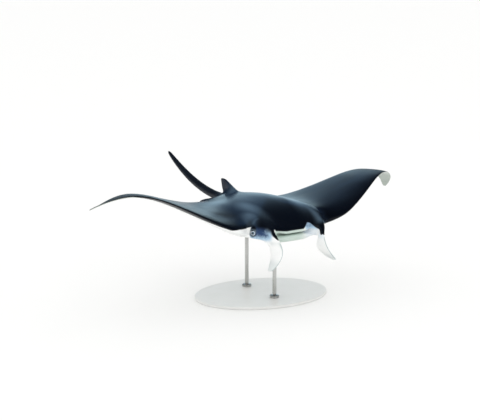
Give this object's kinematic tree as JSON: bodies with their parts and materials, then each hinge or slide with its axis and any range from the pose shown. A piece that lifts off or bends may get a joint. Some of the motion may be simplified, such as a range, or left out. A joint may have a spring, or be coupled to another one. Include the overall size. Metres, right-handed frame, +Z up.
{
  "type": "reef manta ray, life-size display model",
  "caption": "Still life-size manta ray in a swimming pose, wings raised with curled tips and head fins hanging, held over a flat oval base by upright rods.",
  "frame": {"origin": "centre of the base's underside, on the floor, under the middle of the animal", "axes": "+Z up, -Y the way the animal faces, +X its own left side"},
  "size_m": [3.4561, 2.6165, 1.1761],
  "materials": {
    "wet_skin": "satin, near-black above and white below",
    "eye": "wet gloss",
    "powder_coat": "pale grey powder coat",
    "brushed_steel": "satin"
  },
  "bodies": {
    "root": {"trunk": "wet_skin", "head": "wet_skin", "wing_left_inner": "wet_skin", "wing_left_outer": "wet_skin", "wing_left_tip": "wet_skin", "wing_right_inner": "wet_skin", "wing_right_outer": "wet_skin", "wing_right_tip": "wet_skin", "cephalic_fin_left": "wet_skin", "cephalic_fin_right": "wet_skin", "pelvic_fin_left": "wet_skin", "pelvic_fin_right": "wet_skin", "dorsal_fin": "wet_skin", "tail_root": "wet_skin", "tail_middle": "wet_skin", "tail_end": "wet_skin", "eye_left": "eye", "eye_right": "eye", "stand_base": "powder_coat", "stand_rod_front": "brushed_steel", "stand_rod_rear": "brushed_steel", "stand_collar_front": "brushed_steel", "stand_collar_rear": "brushed_steel"}
  },
  "joints": []
}
